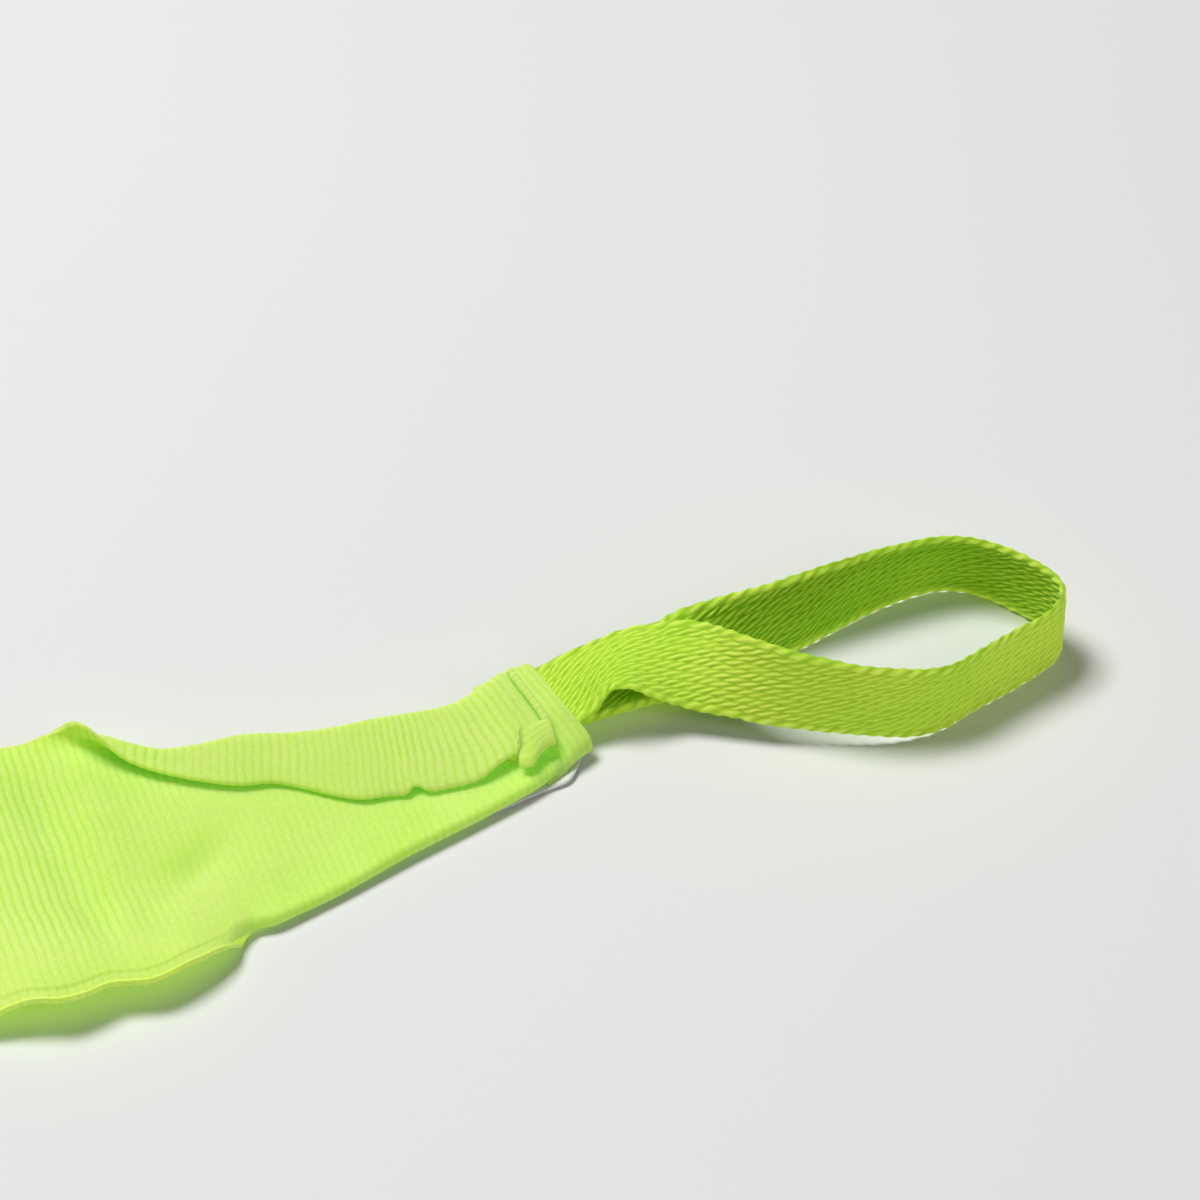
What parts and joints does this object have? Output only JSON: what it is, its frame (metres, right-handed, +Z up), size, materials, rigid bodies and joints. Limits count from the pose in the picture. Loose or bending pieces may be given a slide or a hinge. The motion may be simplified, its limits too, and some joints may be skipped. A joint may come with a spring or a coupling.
{
  "type": "sweat wristband",
  "caption": "Flat ribbed cotton wrist wrap whose end is folded to a taper around a cotton tape thumb loop, with a hook tab that closes on a pile patch.",
  "frame": {"origin": "middle of the pile patch's flat underside, on the surface that the open band lies on", "axes": "+X along the band towards the thumb loop, +Y across the band towards its folded-over margin, +Z up out of the surface"},
  "size_m": [0.3842, 0.05, 0.014],
  "materials": {
    "ribbed_cotton": "fluorescent yellow-green ribbed woven cotton, matt with a soft sheen",
    "cotton_tape": "mid green cotton herringbone tape of thick twisted yarn, matt and fuzzy",
    "hook": "woven nylon hook strip, semi-matt",
    "pile": "brushed nylon loop pile, matt",
    "label": "blank white woven satin label",
    "thread": "spun polyester sewing thread"
  },
  "bodies": {
    "thumb_end": {"band_thumb_end": "ribbed_cotton", "tape_end_lower": "cotton_tape", "tape_end_upper": "cotton_tape", "blank_label": "label", "pile_patch": "pile", "pile_patch_stitching": "thread", "loop_anchor_stitching": "thread"},
    "segment_1": {"band_segment_1": "ribbed_cotton"},
    "segment_2": {"band_segment_2": "ribbed_cotton"},
    "segment_3": {"band_segment_3": "ribbed_cotton"},
    "segment_4": {"band_segment_4": "ribbed_cotton"},
    "segment_5": {"band_segment_5": "ribbed_cotton"},
    "segment_6": {"band_segment_6": "ribbed_cotton"},
    "segment_7": {"band_segment_7": "ribbed_cotton"},
    "tab": {"band_tab": "ribbed_cotton", "hook_patch": "hook", "hook_patch_stitching": "thread", "tab_hem_stitching": "thread"},
    "loop": {"thumb_loop": "cotton_tape"}
  },
  "joints": [
    {"name": "band_bend_1", "type": "hinge", "parent": "thumb_end", "child": "segment_1", "pos_m": [-0.018, 0, 0.0022], "axis": [0, 1, 0], "range_deg": [0, 35]},
    {"name": "band_bend_2", "type": "hinge", "parent": "segment_1", "child": "segment_2", "pos_m": [-0.038, 0, 0.0022], "axis": [0, 1, 0], "range_deg": [0, 35]},
    {"name": "band_bend_3", "type": "hinge", "parent": "segment_2", "child": "segment_3", "pos_m": [-0.058, 0, 0.0022], "axis": [0, 1, 0], "range_deg": [0, 35]},
    {"name": "band_bend_4", "type": "hinge", "parent": "segment_3", "child": "segment_4", "pos_m": [-0.078, 0, 0.0022], "axis": [0, 1, 0], "range_deg": [0, 35]},
    {"name": "band_bend_5", "type": "hinge", "parent": "segment_4", "child": "segment_5", "pos_m": [-0.098, 0, 0.0022], "axis": [0, 1, 0], "range_deg": [0, 35]},
    {"name": "band_bend_6", "type": "hinge", "parent": "segment_5", "child": "segment_6", "pos_m": [-0.118, 0, 0.0022], "axis": [0, 1, 0], "range_deg": [0, 35]},
    {"name": "band_bend_7", "type": "hinge", "parent": "segment_6", "child": "segment_7", "pos_m": [-0.138, 0, 0.0022], "axis": [0, 1, 0], "range_deg": [0, 35]},
    {"name": "band_bend_8", "type": "hinge", "parent": "segment_7", "child": "tab", "pos_m": [-0.158, 0, 0.0022], "axis": [0, 1, 0], "range_deg": [0, 35]},
    {"name": "thumb_loop_bend", "type": "hinge", "parent": "thumb_end", "child": "loop", "pos_m": [0.11558, 0.00678, 0.00445], "axis": [0.1736, -0.9848, 0], "range_deg": [0, 80]}
  ]
}
